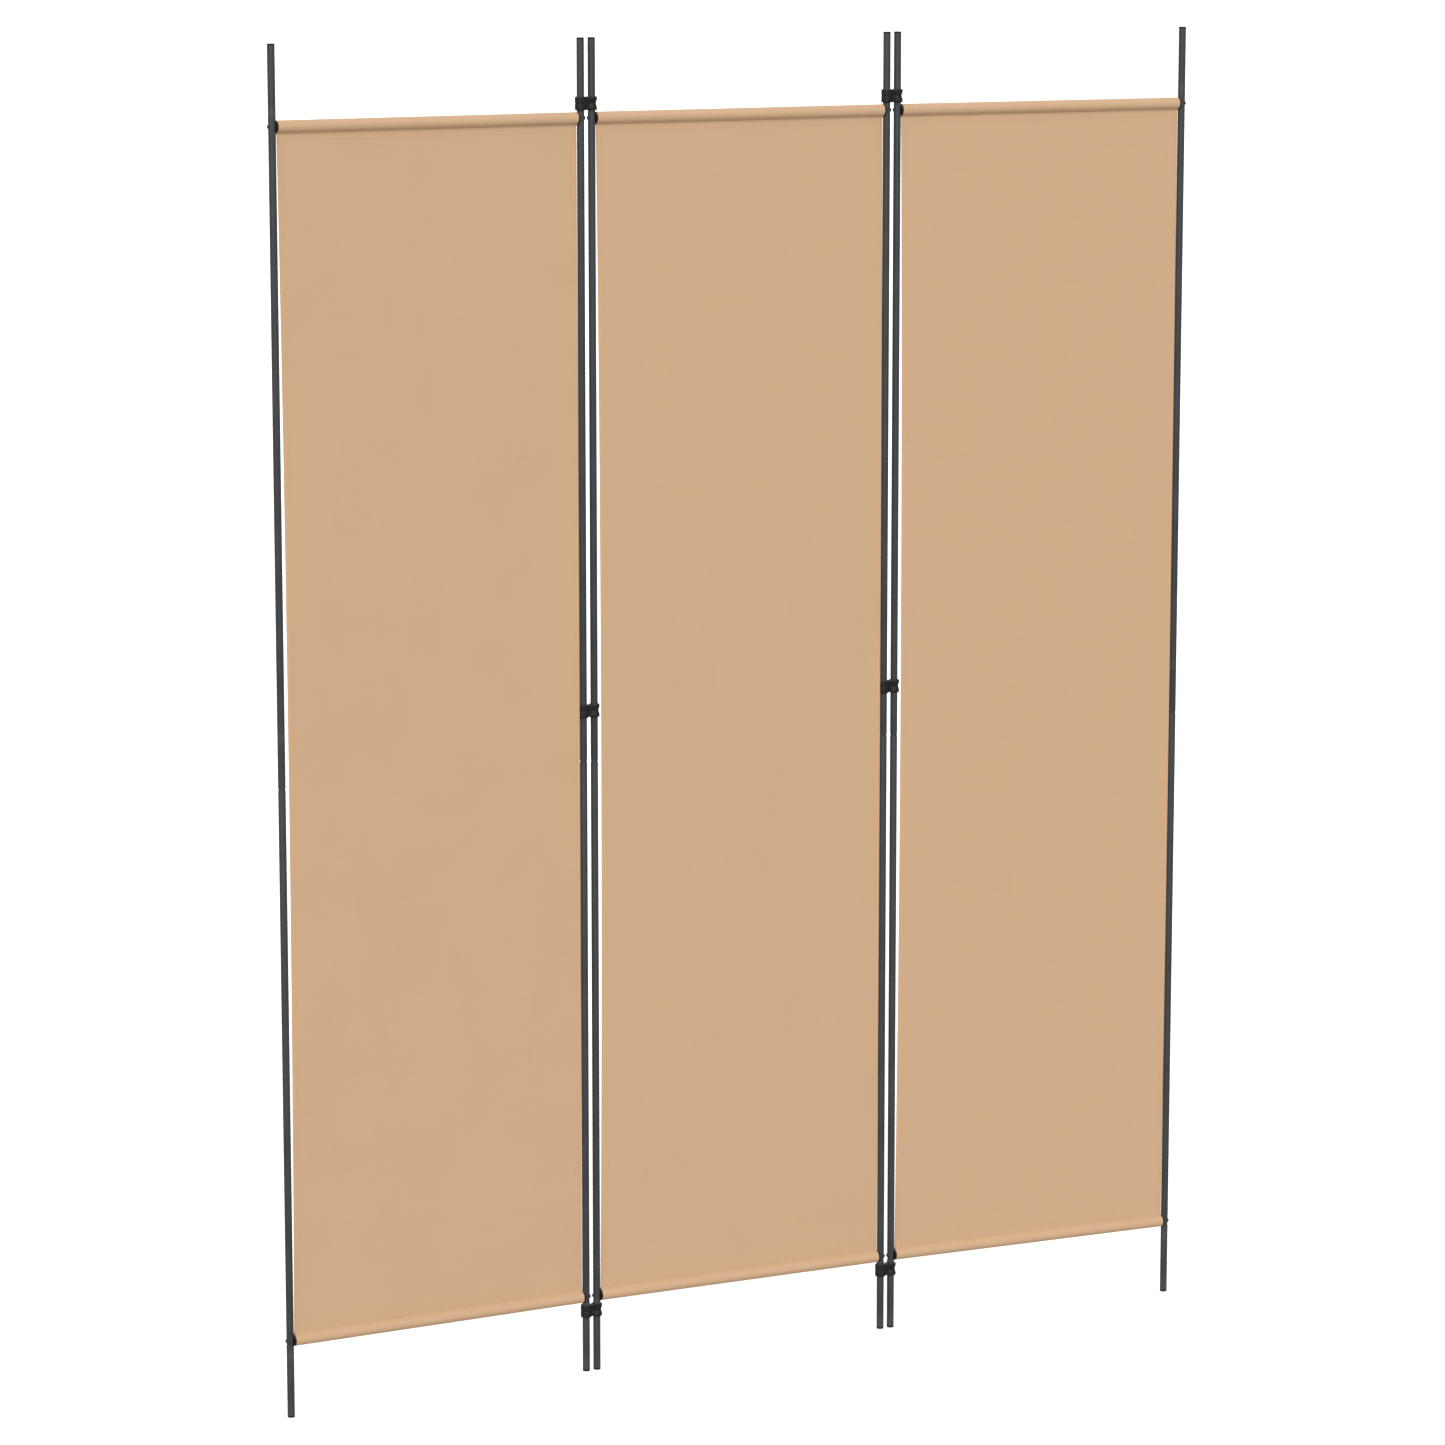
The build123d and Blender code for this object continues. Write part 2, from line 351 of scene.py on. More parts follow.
def use_group(tree, group, **values):
    """A group placed in a material, with its own values for the sockets that are named."""
    sockets = {key.replace("_", " ").title(): value for key, value in values.items()}
    node = put(tree, "ShaderNodeGroup", node_tree=group)
    for label, value in sockets.items():
        if isinstance(value, bpy.types.NodeSocket):
            tree.links.new(value, node.inputs[label])
        else:
            node.inputs[label].default_value = value
    return node.outputs


def emboss(tree, shader, height, depth, strength):
    """Shows a height as relief of a given depth."""
    bump = put(tree, "ShaderNodeBump", {"Strength": strength, "Distance": depth, "Height": height})
    tree.links.new(bump.outputs[0], shader["Normal"])


# %% Paint and plastic
dust_grey = (0.42, 0.4, 0.37, 1)
polish = 1.7  # how much lighter a rubbed place is


def grained_finish(name, dark, light, dust, roughness, specular, grain, patch, relief, bands=()):
    """A painted or moulded finish: drifting tone, grain in relief, rubbed bands and dust."""
    material, tree, shader = finish_with(name, roughness, specular)
    speckle = use_group(tree, fine_grain, grain_size=grain, patch_size=patch)
    colour = mix_colours(tree, fade(tree, speckle["Tone"], 0.3, 0.7), dark, light)
    rubs = 0.0
    for height, reach, amount in bands:
        mask = use_group(tree, rubbed_band, height=height, reach=reach, amount=amount)["Mask"]
        rubs = calc(tree, "MAXIMUM", rubs, mask)
    if bands:
        polished = tuple(min(1.0, polish * part) for part in light[:3]) + (1,)
        colour = mix_colours(tree, rubs, colour, polished)
    film = use_group(tree, settled_dust, amount=dust, patch_size=patch / 2)["Mask"]
    colour = mix_colours(tree, film, colour, dust_grey)
    tree.links.new(colour, shader["Base Color"])
    drift = fade(tree, speckle["Tone"], 0.25, 0.75, roughness - 0.05, roughness + 0.05)
    gloss = calc(tree, "MULTIPLY_ADD", rubs, -0.14, drift)
    tree.links.new(calc(tree, "MULTIPLY_ADD", film, 0.25, gloss), shader["Roughness"])
    emboss(tree, shader, speckle["Height"], relief, 0.6)
    return material


# %% The three hard finishes
clip_bands = [(height, 14 * mm, 0.35) for height in clip_heights.values()]
foot_band = (0.0, 45 * mm, 0.5)
powder_coat = grained_finish(
    "grey_powder_coat", (0.042, 0.045, 0.048, 1), (0.052, 0.055, 0.059, 1), 0.25,
    roughness=0.5, specular=0.22, grain=0.55 * mm, patch=45 * mm, relief=0.02 * mm,
    bands=[*clip_bands, foot_band],
)
black_plastic = grained_finish(
    "black_moulded_plastic", (0.006, 0.006, 0.007, 1), (0.010, 0.010, 0.011, 1), 0.2,
    roughness=0.5, specular=0.3, grain=0.18 * mm, patch=9 * mm, relief=0.025 * mm,
)
screw_black = grained_finish(
    "black_screw_steel", (0.018, 0.018, 0.019, 1), (0.035, 0.034, 0.033, 1), 0.2,
    roughness=0.34, specular=0.6, grain=0.25 * mm, patch=2 * mm, relief=0.01 * mm,
)
print("finishes", powder_coat.name, black_plastic.name, screw_black.name)

# %% [markdown]
# ## The workshop's hand tools
# Most hard pieces of this screen come off a lathe, so the first tool turns an outline round Z:
# one point is extruded along the outline and the line is spun. The others choose an object, cut
# with another shape, soften sharp edges, and lay a finished copy on its place in the frame.
# Cuts a few millimetres wide are too fine for the boolean tool's rounding, which leaves small
# holes, so a shape is a thousand times larger while it is cut.

# %% Lathe
weld = 0.001 * mm
lathe_steps = 48
small_steps = 24  # for bores of a few millimetres


def choose(obj):
    """Makes obj the only selected object, and the active one."""
    deselect_all()
    obj.select_set(True)
    bpy.context.view_layer.objects.active = obj


def turned(name, outline, steps=lathe_steps):
    """A shape turned about Z from (radius, height) points. Ends on the axis stay open lines."""
    deselect_all()
    bpy.ops.mesh.primitive_plane_add(size=mm, location=(0, 0, 0))
    obj = bpy.context.object
    obj.name = obj.data.name = name
    bpy.ops.object.mode_set(mode="EDIT")
    bpy.ops.mesh.select_all(action="SELECT")
    bpy.ops.mesh.merge(type="CENTER")
    radius, height = outline[0]
    bpy.ops.transform.translate(value=(radius, 0, height))
    closing = outline[:1] if radius > 0 else []
    for next_radius, next_height in outline[1:] + closing:
        step = (next_radius - radius, 0, next_height - height)
        bpy.ops.mesh.extrude_vertices_move(TRANSFORM_OT_translate={"value": step})
        radius, height = next_radius, next_height
    bpy.ops.mesh.select_all(action="SELECT")
    bpy.ops.mesh.remove_doubles(threshold=weld)
    bpy.ops.mesh.spin(steps=steps, angle=2 * math.pi, center=(0, 0, 0), axis=(0, 0, 1))
    bpy.ops.mesh.select_all(action="SELECT")
    bpy.ops.mesh.remove_doubles(threshold=weld)
    bpy.ops.mesh.normals_make_consistent(inside=False)
    bpy.ops.object.mode_set(mode="OBJECT")
    return obj


def pin_outline(radius, low, high):
    """Outline of a solid round pin."""
    return [(0, low), (radius, low), (radius, high), (0, high)]


def tube_outline(bore, radius, low, high):
    """Outline of a plain tube's wall."""
    return [(bore, low), (radius, low), (radius, high), (bore, high)]


# %% Place, modify, cut and soften
def settle(obj, place):
    """Puts obj's place into its mesh, so that the object itself sits at the origin."""
    choose(obj)
    obj.matrix_world = place
    bpy.ops.object.transform_apply(location=True, rotation=True, scale=True)
    return obj


def modify(obj, kind, **settings):
    """Adds a modifier, sets it and applies it."""
    modifier = obj.modifiers.new(kind.lower(), kind)
    for name, value in settings.items():
        setattr(modifier, name, value)
    choose(obj)
    bpy.ops.object.modifier_apply(modifier=modifier.name)
    return obj


enlarge = Matrix.Scale(1 / mm, 4)
shrink = Matrix.Scale(mm, 4)


def cut(obj, cutter):
    """Cuts obj with a closed cutter, both a thousand times enlarged meanwhile."""
    for shape in (obj, cutter):
        settle(shape, enlarge)
    modify(obj, "BOOLEAN", operation="DIFFERENCE", object=cutter, solver="EXACT")
    bpy.data.objects.remove(cutter)
    return settle(obj, shrink)


def soften(obj, width, segments=2, angle=28):
    """Rounds edges that turn by more than angle, then shades the rest smooth."""
    modify(
        obj, "BEVEL", width=width, segments=segments, limit_method="ANGLE",
        angle_limit=math.radians(angle), miter_outer="MITER_ARC",
    )
    choose(obj)
    bpy.ops.object.shade_smooth_by_angle(angle=math.radians(38))
    return obj


# %% Join, copy and fit out
def joined(name, objects):
    """Several objects made one."""
    choose(objects[0])
    for obj in objects:
        obj.select_set(True)
    bpy.ops.object.join()
    objects[0].name = objects[0].data.name = name
    return objects[0]


def copy_of(obj, place=Matrix.Identity(4)):
    """A copy with its own mesh, moved by place."""
    twin = obj.copy()
    twin.data = obj.data.copy()
    bpy.context.scene.collection.objects.link(twin)
    return settle(twin, place)


def fit_out(model, node, body, place):
    """A finished copy of model, laid on its place, that rides on body and stands for node."""
    piece = copy_of(model, place)
    piece.name = piece.data.name = f"finished_{node}"
    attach(piece, body)
    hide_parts(node)
    return piece


def painted(obj, material):
    """Gives obj one material."""
    obj.data.materials.clear()
    obj.data.materials.append(material)
    return obj


def triangles(obj):
    return sum(len(face.vertices) - 2 for face in obj.data.polygons)


# %% Places and turns
def at(x=0.0, y=0.0, z=0.0):
    return Matrix.Translation((x, y, z))


def turn_about(axis, degrees):
    return Matrix.Rotation(math.radians(degrees), 4, axis)


along_x = turn_about("Y", 90)

# %% [markdown]
# ## Posts
# A post is three lengths of 11 mm steel tube. The upper two end in a cone and a neck that slide
# into the tube below, so a joint shows as a thin dark line over a narrowing. Turning the whole
# outline, bore and neck included, gives the real wall at the lip. Where a rail meets the post a
# screw passes through both walls, so those holes are bored before the lips are softened.

# %% Post sizes
post_r = 5.5 * mm
post_bore = 4.7 * mm
neck_r = 4.65 * mm
neck_bore = 3.85 * mm
spigot = 30 * mm
shoulder = 4.5 * mm
screw_hole_r = 2.15 * mm
foot_head = lowest("centre_panel_left_leg_tube")
leg_top = highest("centre_panel_left_leg_tube")
mid_joint = lowest("centre_panel_left_upper_tube") + spigot
tube_top = highest("centre_panel_left_upper_tube")


def necked_outline(bottom, top):
    """Wall of a tube that narrows at its lower end, with its neck's tip below bottom."""
    cone = bottom + shoulder
    tip = bottom - spigot
    outer = [(post_r, top), (post_r, cone), (neck_r, bottom), (neck_r, tip)]
    inner = [(neck_bore, tip), (neck_bore, bottom), (post_bore, cone), (post_bore, top)]
    return outer + inner


def bored(tube, height):
    """Bores a screw's hole through both walls, along X."""
    drill = turned("drill", pin_outline(screw_hole_r, -2 * post_r, 2 * post_r), small_steps)
    return cut(tube, settle(drill, at(z=height) @ along_x))


# %% Turn the tubes
leg_tube = turned("leg_tube", tube_outline(post_bore, post_r, foot_head, leg_top))
lower_tube = bored(turned("lower_tube", necked_outline(leg_top, mid_joint)), rail_heights["bottom"])
upper_tube = bored(turned("upper_tube", necked_outline(mid_joint, tube_top)), rail_heights["top"])
for tube in (leg_tube, lower_tube, upper_tube):
    soften(tube, 0.22 * mm)
    painted(tube, powder_coat)
    print(tube.name, "turned with", triangles(tube), "triangles")

# %% [markdown]
# ## Caps
# Each tube end is closed by a black plastic cap: a stem that grips the bore with three thin
# lips, and a head as wide as the post. The foot's head is a little thicker and flat underneath.
# Both are turned from the head outwards, with the head's rim rounded and a small sunk gate mark
# in its middle, where the plastic entered the mould.

# %% Caps
cap_stem = 12 * mm
stem_core = 4.1 * mm
stem_lip = 4.65 * mm


def cap_outline(head):
    """From the middle of the head's face, at height 0, up to the stem's tip."""
    outline = [(0, 0.35 * mm), (0.7 * mm, 0.35 * mm), (0.9 * mm, 0), (post_r - 0.8 * mm, 0)]
    outline += [(post_r - 0.25 * mm, 0.22 * mm), (post_r, 0.8 * mm), (post_r, head), (stem_core, head)]
    for lip in (2.5, 5.5, 8.5):
        base = head + lip * mm
        outline += [(stem_core, base), (stem_lip, base + 0.3 * mm), (stem_lip, base + 0.8 * mm)]
        outline += [(stem_core, base + 1.5 * mm)]
    tip = head + cap_stem
    return outline + [(stem_core, tip - 0.8 * mm), (stem_core - 0.8 * mm, tip), (0, tip)]


foot_cap = turned("foot_cap", cap_outline(foot_head))
top_cap = turned("top_cap", cap_outline(screen_height - tube_top))
settle(top_cap, at(z=screen_height) @ turn_about("X", 180))
for cap in (foot_cap, top_cap):
    soften(cap, 0.12 * mm)
    painted(cap, black_plastic)
print("caps", triangles(foot_cap), "triangles each")

# %% Fit the posts out
post_models = {
    "leg_tube": (leg_tube, "frame_paint"),
    "lower_tube": (lower_tube, "frame_paint"),
    "upper_tube": (upper_tube, "frame_paint"),
    "foot_cap": (foot_cap, "black_plastic"),
    "top_cap": (top_cap, "black_plastic"),
}
for panel in panels:
    for side, sign in sides.items():
        place = panel_places[panel] @ at(x=sign * panel_pitch / 2)
        for part, (model, slot) in post_models.items():
            fit_out(model, f"{panel}_panel_{side}_{part}", f"panel_{panel}", place)
for model, slot in post_models.values():
    bpy.data.objects.remove(model)
print("posts fitted out:", len(panels) * len(sides))

# %% [markdown]
# ## Rails, plugs and screws
# A rail is a 16 mm tube hidden in the cloth's pocket. What shows is its plug: a black flange as
# wide as the rolled cloth, with a hollow that sits on the post. The plug is turned with its stem
# and its grip rings, then the post's shape and the screw's pilot hole are cut from it. The screw
# is turned as well, with a low dome for a head, and its cross recess is cut by two thin blades.

# %% Rail
rail_r = 8 * mm
rail_bore = 7 * mm
rail_start = 6.8 * mm
rail_half = panel_pitch / 2 - rail_start
rail = turned("rail", tube_outline(rail_bore, rail_r, -rail_half, rail_half))
painted(soften(settle(rail, along_x), 0.15 * mm), powder_coat)

# %% Plug
flange_r = 8.65 * mm
flange_start = 4.3 * mm
stem_r = 6.55 * mm
ring_r = 6.95 * mm
stem_end = rail_start + 16 * mm
pilot_r = 2.05 * mm
pilot_end = post_r + 12.5 * mm
saddle_r = post_r + 0.05 * mm
rim = 0.35 * mm
plug_outline = [(0, flange_start), (flange_r - rim, flange_start), (flange_r, flange_start + rim)]
plug_outline += [(flange_r, rail_start - 0.2 * mm), (flange_r - 0.2 * mm, rail_start)]
plug_outline += [(stem_r, rail_start)]
for ring in (3, 7, 11):
    base = rail_start + ring * mm
    plug_outline += [(stem_r, base), (ring_r, base + 1.2 * mm)]
    plug_outline += [(ring_r, base + 1.7 * mm), (stem_r, base + 2 * mm)]
plug_outline += [(stem_r, stem_end - 1.2 * mm), (stem_r - 1.2 * mm, stem_end), (0, stem_end)]
plug = settle(turned("plug", plug_outline), along_x)
cut(plug, turned("saddle", pin_outline(saddle_r, -12 * mm, 12 * mm)))
cut(plug, settle(turned("pilot", pin_outline(pilot_r, 0, pilot_end), small_steps), along_x))
painted(soften(plug, 0.12 * mm), black_plastic)
print("plug", triangles(plug), "triangles")

# %% Block, for shapes that aren't round
def block(name, size, place):
    """A box of a given size, with its place in its mesh."""
    deselect_all()
    bpy.ops.mesh.primitive_cube_add(size=1)
    box = bpy.context.object
    box.name = box.data.name = name
    box.scale = size
    bpy.ops.object.transform_apply(scale=True)
    return settle(box, place)


# %% Screw
head_r = 2.9 * mm
head_height = 1.9 * mm
shank_r = 2.0 * mm
shank_end = post_r + 12 * mm
point_length = 3 * mm
recess = (3.2 * mm, 0.8 * mm, 0.9 * mm)  # length, width and depth of each slot
screw_steps = 32
dome_steps = 7


def dome_point(step):
    """Point of the head's crown, from the middle out to its rim, as an arc of an ellipse."""
    angle = math.pi / 2 * step / dome_steps
    return head_r * math.sin(angle), -post_r - head_height * (0.2 + 0.8 * math.cos(angle))


screw_outline = [dome_point(step) for step in range(dome_steps + 1)]
screw_outline += [(head_r, -post_r), (shank_r, -post_r), (shank_r, shank_end - point_length)]
screw_outline += [(0.5 * mm, shank_end), (0, shank_end)]
screw = turned("screw", screw_outline, screw_steps)
recess_floor = -post_r - head_height + recess[2]
blade = (*recess[:2], 2 * mm)  # higher than the recess is deep
for turn in (0, 90):
    place = at(z=recess_floor - blade[2] / 2) @ turn_about("Z", turn)
    cut(screw, block("blade", blade, place))
painted(soften(settle(screw, along_x), 0.08 * mm), screw_black)
print("screw", triangles(screw), "triangles")

# %% Fit the rails out
for panel in panels:
    for level, height in rail_heights.items():
        body = f"panel_{panel}"
        node = f"{panel}_panel_{level}_rail"
        fit_out(rail, node, body, panel_places[panel] @ at(z=height))
        for model, part, slot in ((plug, "plugs", "black_plastic"), (screw, "screws", "black_screws")):
            ends = [
                copy_of(model, at(x=-panel_pitch / 2, z=height)),
                copy_of(model, at(x=panel_pitch / 2, z=height) @ turn_about("Z", 180)),
            ]
            pair = joined(f"{part}_pair", ends)
            fit_out(pair, f"{node}_{part}", body, panel_places[panel])
            bpy.data.objects.remove(pair)
for model in (rail, plug, screw):
    bpy.data.objects.remove(model)
print("rails fitted out:", len(panels) * len(rail_heights))

# %% [markdown]
# ## Clips
# The double clip is one moulding with two rings: a closed one, and one whose mouth at the back
# springs over the post. The open ring's waist is drawn in, so that it can spread. The rings are
# turned with their bores, and the web between them is a block with dips above and below. Each
# gets its share of the small hole. The three overlap, and remeshing them in fine voxels makes
# one skin of them and gives every inner corner the soft fillet of a moulding. The skin is
# thinned afterwards, since flat walls need few faces. It is enlarged for the voxels too.

# %% Clip sizes
clip_half = (highest("left_middle_clip") - lowest("left_middle_clip")) / 2
clip_r = 8.18 * mm
clip_bore = 5.78 * mm
clip_chamfer = 1.2 * mm
web_depth = 9 * mm
web_dip = 1.5 * mm
web_end_r = 6.8 * mm
web_clearance = 0.1 * mm  # keeps the web's top and bottom off the rings' own
web_hole_r = 1.5 * mm
web_hole_stretch = (1.25, 1, 1.8, 1)
fine_waist = (0.6 * mm, 0.8 * mm)  # depth and half height
wide_waist = (1.7 * mm, 6 * mm)
mouth_width = 7.4 * mm
skin_voxel = 0.26  # millimetres, since the clip is enlarged by then
half_pair = pair_pitch / 2
long_cut = 40 * mm


def ring(name, x, waist_depth, waist_half):
    """One ring about a post's axis, chamfered at its rims and drawn in at its waist."""
    outline = [(clip_bore, -clip_half), (clip_r - clip_chamfer, -clip_half)]
    outline += [(clip_r, clip_chamfer - clip_half), (clip_r, -waist_half), (clip_r - waist_depth, 0)]
    outline += [(clip_r, waist_half), (clip_r, clip_half - clip_chamfer)]
    outline += [(clip_r - clip_chamfer, clip_half), (clip_bore, clip_half)]
    return settle(turned(name, outline), at(x=x))


def rod(name, radius, place):
    """A long rod along Z, turned by half a step so that its edges miss the other shapes' edges."""
    long_pin = turned(name, pin_outline(radius, -long_cut, long_cut))
    return settle(long_pin, place @ turn_about("Z", 180 / lathe_steps))


# %% Mould the clip
closed_ring = ring("closed_ring", -half_pair, *fine_waist)
open_ring = ring("open_ring", half_pair, *wide_waist)
cut(open_ring, block("mouth", (mouth_width, 2 * clip_r, long_cut), at(x=half_pair, y=clip_r)))
web = block("web", (pair_pitch, web_depth, 2 * clip_half - web_clearance), at())
dip_r = half_pair - post_r
for side in (-1, 1):
    cut(web, rod("web_end", web_end_r, at(x=side * half_pair)))
    dip_z = side * (clip_half - web_dip + dip_r)
    cut(web, rod("dip", dip_r, at(z=dip_z) @ turn_about("X", 90)))
for part in (closed_ring, open_ring, web):
    web_hole = rod("web_hole", web_hole_r, turn_about("X", 90))
    cut(part, settle(web_hole, Matrix.Diagonal(web_hole_stretch)))

# %% Give the clip one skin
clip = joined("clip", [closed_ring, open_ring, web])
settle(clip, enlarge)
modify(clip, "REMESH", mode="VOXEL", voxel_size=skin_voxel)
modify(clip, "SMOOTH", factor=0.6, iterations=4)
modify(clip, "DECIMATE", ratio=0.2)
settle(clip, shrink)
choose(clip)
bpy.ops.object.shade_smooth_by_angle(angle=math.radians(50))
painted(clip, black_plastic)
print("clip", triangles(clip), "triangles")

# %% Fit the clips out
for pair, place in clip_places.items():
    for level, height in clip_heights.items():
        fit_out(clip, f"{pair}_{level}_clip", f"clips_{pair}", place @ at(z=height))
bpy.data.objects.remove(clip)
print("clips fitted out:", len(clip_places) * len(clip_heights))

# %% [markdown]
# ## Cloth
# Each panel is one length of plain-woven, sand-coloured cloth. Its sides are folded to the back
# and hemmed. Its ends are wrapped round the rails, brought down behind and sewn to the sheet as
# laps. Pulled between the rails it stands almost flat, bows a little to the front and draws in
# a little at mid-height. The shape follows from where each point of the flat cloth goes, so the
# flat piece is a grid, and one function carries a flat point (u across, s along, lift in front)
# to its place. The same function lays the stitches, and the flat place is kept as the UV map,
# so that the weave follows every fold.

# %% Cloth sizes
cloth_thickness = 0.5 * mm
roll_r = 8.42 * mm  # middle of the cloth's thickness where it goes round a rail
seam_drop = 9.9 * mm  # from a rail's axis to the seam
bow = 5.7 * mm
lap = 12 * mm
hem = 9 * mm
fold_r = 0.3 * mm
layer_gap = 2 * fold_r
rail_edge_gap = 6.95 * mm  # from a post's axis to the cloth's edge, at the rails
middle_edge_gap = 8.95 * mm  # and at mid-height

rail_span = rail_heights["top"] - rail_heights["bottom"]
mid_height = (rail_heights["top"] + rail_heights["bottom"]) / 2
sheet_half = rail_span / 2 - seam_drop
half_width = panel_pitch / 2 - rail_edge_gap
fold_start = half_width - fold_r
tangent = math.acos(roll_r / seam_drop)
flank = math.sqrt(seam_drop**2 - roll_r**2)
wrap = roll_r * (2 * math.pi - 2 * tangent)
cloth_half = sheet_half + 2 * flank + wrap + lap
hem_edge = fold_start + math.pi * fold_r + hem

# %% Slack, with counts per metre
lines_across, lines_along, line_swell = 22, 1.3, 0.22 * mm
puckers_across, pucker_swell, pucker_reach = 75, 0.28 * mm, 26 * mm

# %% Where a point of the flat cloth goes
def behind_seam(u):
    """How far behind the sheet its wrapped end comes down: further over the side hems."""
    rise = min(1.0, max(0.0, (abs(u) - fold_start + hem + 2 * mm) / (2 * mm)))
    return layer_gap * (1 + rise)


def around_rail(u, past):
    """(y, z) from a rail's axis and the way out (y, z), at a length past the seam, top end."""
    if past < flank:
        share = past / flank
        out = (-math.sin(tangent), -math.cos(tangent))
        near, far = (0.0, -seam_drop), (roll_r * out[0], roll_r * out[1])
    elif past < flank + wrap:
        angle = tangent + (past - flank) / roll_r
        out = (-math.sin(angle), -math.cos(angle))
        near = far = (roll_r * out[0], roll_r * out[1])
        share = 0.0
    else:
        share = (past - flank - wrap) / flank
        out = (math.sin(tangent), -math.cos(tangent))
        near, far = (roll_r * out[0], roll_r * out[1]), (behind_seam(u), -seam_drop)
    return tuple(a + share * (b - a) for a, b in zip(near, far)), out


def slack(u, s):
    """Small forward swell of the sheet: long tension lines, and puckers beside the seams."""
    seam_distance = sheet_half - abs(s)
    lines = noise.noise(Vector((u * lines_across, s * lines_along, 1.7)))
    puckers = noise.noise(Vector((u * puckers_across, math.copysign(3.1, s), 5.2)))
    calm = min(1.0, seam_distance / (4 * mm))
    near = math.exp(-seam_distance / pucker_reach)
    return calm * (line_swell * lines + pucker_swell * puckers * near)


def sheet_point(u, s, lift):
    """Place of a point between the rails, out to the hems that are folded behind."""
    across = abs(u)
    share = abs(s) / sheet_half
    edge = half_width - (middle_edge_gap - rail_edge_gap) * (1 - share**2)
    y = -bow * (1 - share**2) - slack(u, s)
    if across <= fold_start:
        return Vector((u * (edge - fold_r) / fold_start, y - lift, mid_height + s))
    turn = min(math.pi, (across - fold_start) / fold_r)
    hem_run = across - fold_start - turn * fold_r
    reach = fold_r + lift
    x = edge - fold_r + reach * math.sin(turn) - hem_run
    return Vector((math.copysign(x, u), y + fold_r - reach * math.cos(turn), mid_height + s))


def cloth_point(u, s, lift=0.0):
    """Place of flat point (u, s) of a panel at the origin, lifted in front of the cloth."""
    past = abs(s) - sheet_half
    if past <= 0:
        return sheet_point(u, s, lift)
    end = math.copysign(1, s)
    down = past - 2 * flank - wrap
    if down >= 0:
        return sheet_point(u, end * (sheet_half - down), -behind_seam(u) - lift)
    (y, z), out = around_rail(u, past)
    height = mid_height + end * (rail_span / 2 + z + out[1] * lift)
    return Vector((u * half_width / fold_start, y + out[0] * lift, height))


# %% Spacing of the grid
def spaced(start, stop, count):
    """Evenly spaced values after start, up to stop."""
    return [start + (stop - start) * step / count for step in range(1, count + 1)]


def mirrored(half):
    """The same values on both sides of 0."""
    return [-value for value in reversed(half)] + [0.0] + half


near_seam = sheet_half - 60 * mm
lap_edge = sheet_half - lap
turn_start = sheet_half + flank
turn_stop = turn_start + wrap
across_values = mirrored(
    spaced(0, fold_start - hem, 52) + spaced(fold_start - hem, fold_start, 4)
    + spaced(fold_start, fold_start + math.pi * fold_r, 4)
    + spaced(fold_start + math.pi * fold_r, hem_edge, 3)
)
along_values = mirrored(
    spaced(0, near_seam, 26) + spaced(near_seam, lap_edge, 9)
    + spaced(lap_edge, sheet_half - 0.8 * mm, 4) + spaced(sheet_half - 0.8 * mm, sheet_half, 1)
    + spaced(sheet_half, turn_start, 2) + spaced(turn_start, turn_stop, 26)
    + spaced(turn_stop, turn_stop + flank, 2) + spaced(turn_stop + flank, cloth_half, 4)
)
print("grid of", len(across_values) - 1, "by", len(along_values) - 1)

# %% Lay one cloth flat
deselect_all()
columns, rows = len(across_values) - 1, len(along_values) - 1
bpy.ops.mesh.primitive_grid_add(x_subdivisions=columns, y_subdivisions=rows, size=1, location=(0, 0, 0))
cloth = bpy.context.object
cloth.name = cloth.data.name = "cloth"
flat_map = cloth.data.uv_layers.active
flat_map.name = "flat"
for vertex in cloth.data.vertices:
    column = round((vertex.co.x + 0.5) * columns)
    row = round((vertex.co.y + 0.5) * rows)
    vertex.co = (across_values[column], along_values[row], 0)
for loop in cloth.data.loops:
    flat_map.data[loop.index].uv = cloth.data.vertices[loop.vertex_index].co.xy

# %% Cut the hems short of the rolls
bpy.ops.object.mode_set(mode="EDIT")
bpy.ops.mesh.select_mode(type="FACE")
bpy.ops.mesh.select_all(action="DESELECT")
bpy.ops.object.mode_set(mode="OBJECT")
for face in cloth.data.polygons:
    in_fold = abs(face.center.x) > fold_start
    face.select = in_fold and abs(face.center.y) > sheet_half
bpy.ops.object.mode_set(mode="EDIT")
bpy.ops.mesh.delete(type="FACE")
bpy.ops.object.mode_set(mode="OBJECT")

# %% Hang it
for vertex in cloth.data.vertices:
    vertex.co = cloth_point(vertex.co.x, vertex.co.y)
bpy.ops.object.mode_set(mode="EDIT")
bpy.ops.mesh.select_all(action="SELECT")
bpy.ops.mesh.normals_make_consistent(inside=False)
bpy.ops.object.mode_set(mode="OBJECT")
modify(cloth, "SOLIDIFY", thickness=cloth_thickness, offset=0.0)
choose(cloth)
bpy.ops.object.shade_smooth_by_angle(angle=math.radians(40))
print("cloth", triangles(cloth), "triangles")

# %% [markdown]
# ## Stitches
# Sewing shows as short raised dashes of thread: one row down each side hem, and two rows across
# each lap, with the same rows on the back. One stitch is a ball drawn out to the shape of a
# dash. An array lines stitches up on the flat cloth, and the cloth's own function lays them on.

# %% Sew
stitch_pitch = 4 * mm
stitch_size = (2.9 * mm, 0.42 * mm, 0.22 * mm)
front_lift = cloth_thickness / 2 + 0.04 * mm
back_lift = -layer_gap - front_lift


